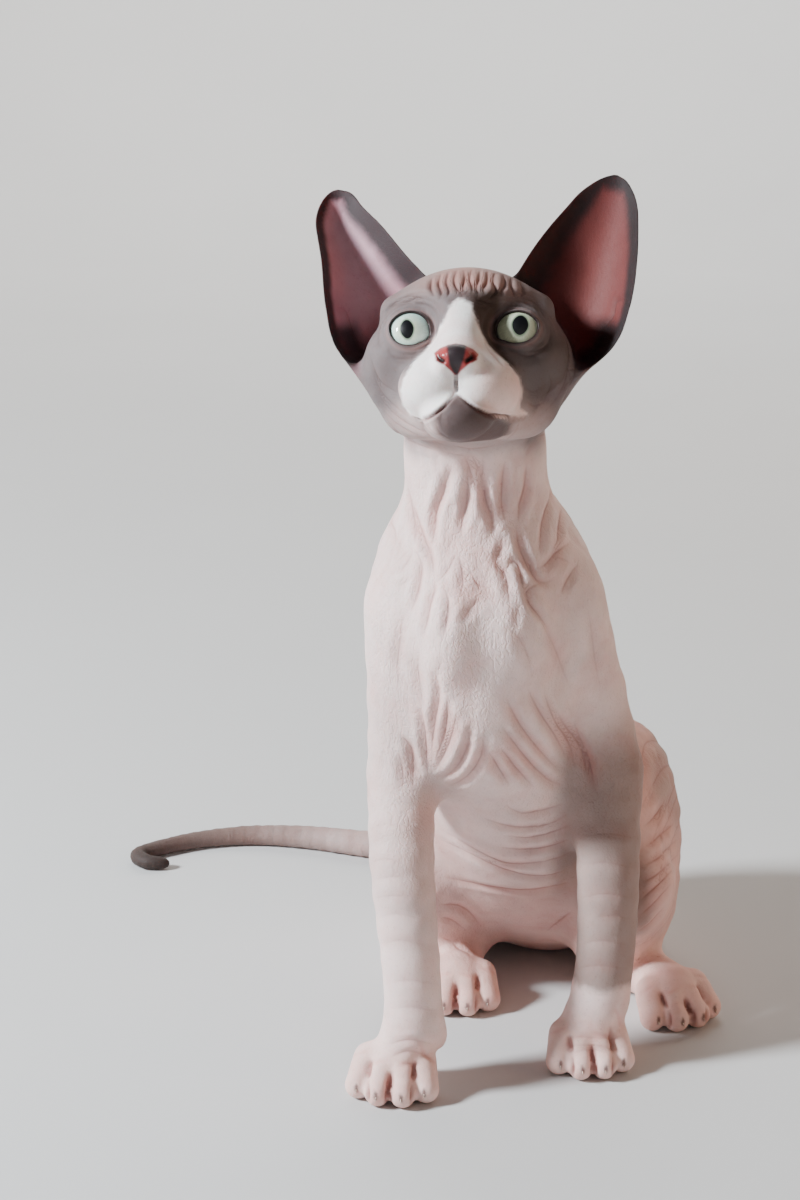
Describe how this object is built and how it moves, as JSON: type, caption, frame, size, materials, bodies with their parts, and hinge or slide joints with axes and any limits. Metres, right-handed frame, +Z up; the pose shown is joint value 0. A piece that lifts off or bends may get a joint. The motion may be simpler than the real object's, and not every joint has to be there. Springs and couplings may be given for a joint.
{
  "type": "sphynx kitten",
  "caption": "Life-size still model of a hairless sphynx kitten sitting upright on its haunches, head raised, large ears up, tail laid on the floor round its right side",
  "frame": {"origin": "on the floor, under the middle of the model's box", "axes": "+Z up; the kitten faces -Y with its chest, and its left side is at +X; its rump lies about 12 degrees to its left of the chest"},
  "size_m": [0.213, 0.2544, 0.281],
  "materials": {
    "skin": "bare pale pink skin with a fine matt down",
    "mask_skin": "bare grey skin with a fine matt down, white blaze and muzzle",
    "ear_skin": "thin dark skin, mauve pink inside the cup",
    "tail_skin": "dark brown skin with a short down",
    "eye": "wet and glossy, pale aqua iris with a black pupil"
  },
  "bodies": {
    "root": {"head": "mask_skin", "eye_right": "eye", "eye_left": "eye", "ear_right": "ear_skin", "ear_left": "ear_skin", "neck": "skin", "torso": "skin", "foreleg_right": "skin", "forepaw_right": "skin", "foreleg_left": "skin", "forepaw_left": "skin", "hind_leg_right": "skin", "hind_foot_right": "skin", "hind_leg_left": "skin", "hind_foot_left": "skin", "tail_base": "skin", "tail_tip": "tail_skin"}
  },
  "joints": []
}
